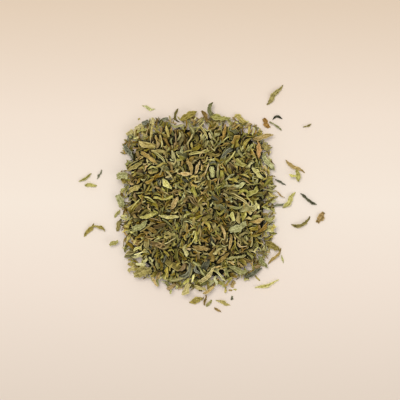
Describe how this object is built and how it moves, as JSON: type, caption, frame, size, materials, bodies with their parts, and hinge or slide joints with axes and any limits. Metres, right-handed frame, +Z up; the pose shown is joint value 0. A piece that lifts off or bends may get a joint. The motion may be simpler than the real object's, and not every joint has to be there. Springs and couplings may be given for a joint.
{
  "type": "heap of dried holy basil leaf",
  "caption": "Low rounded-square heap of dried, rubbed holy basil leaf, with single flakes strayed around it on the surface",
  "frame": {"origin": "on the resting surface, under the middle of the heap", "axes": "+Z is up from the resting surface; +X and +Y are right and up in the picture, which looks straight down"},
  "size_m": [0.1481, 0.1368, 0.0232],
  "materials": {
    "olive": "matte",
    "lime": "matte",
    "tan": "matte",
    "sage": "matte",
    "slate": "matte",
    "bronze": "matte"
  },
  "bodies": {
    "root": {"heap": "olive", "leaf_broad_sage": "sage", "leaf_long_lime": "lime", "leaf_mid_lime": "lime", "leaf_tan_level": "tan", "leaf_tan_upright": "tan", "leaf_tan_leaning": "tan", "leaf_mid_olive": "tan", "leaf_east_lime": "lime", "leaf_edge_sage": "sage", "leaf_rust": "bronze", "leaf_east_round": "olive", "leaf_corner_tip": "tan", "leaf_top_crescent": "sage", "leaf_top_pointed": "lime", "leaf_top_fan": "olive", "leaf_top_hook": "olive", "leaf_top_bronze": "bronze", "leaf_north_east": "olive", "leaf_ragged_sage": "sage", "leaf_south_olive": "olive", "leaf_pale_south": "sage", "leaf_dark_south": "slate", "leaf_low_sage": "sage", "leaf_corner_olive": "olive", "leaf_round_green": "olive", "leaf_round_west": "sage", "leaf_west_lobe": "sage", "leaf_west_bit": "lime", "leaf_west_low": "olive", "leaf_pointed_tan": "tan", "leaf_dark_curl": "slate", "stray_far_blade": "olive", "stray_pale_sprig": "sage", "stray_rust_chip": "bronze", "stray_green_bit": "sage", "stray_dark_bit": "slate", "stray_east_bit": "olive", "stray_tan_strip": "tan", "stray_lobed_green": "lime", "stray_thin_green": "slate", "stray_east_leaf": "lime", "stray_slate_leaf": "slate", "stray_brown_chip": "bronze", "stray_crescent": "olive", "stray_south_east": "tan", "stray_pale_curl": "lime", "stray_south_leaf": "olive", "stray_south_brown": "bronze", "stray_south_green": "lime", "stray_south_olive": "olive", "stray_lowest": "bronze", "stray_south_chip": "tan", "stray_west_green": "lime", "stray_west_fork": "lime", "stray_west_twig": "slate", "stray_fork_left": "olive", "stray_fork_right": "olive", "stray_west_square": "lime", "stray_south_west": "tan"}
  },
  "joints": []
}
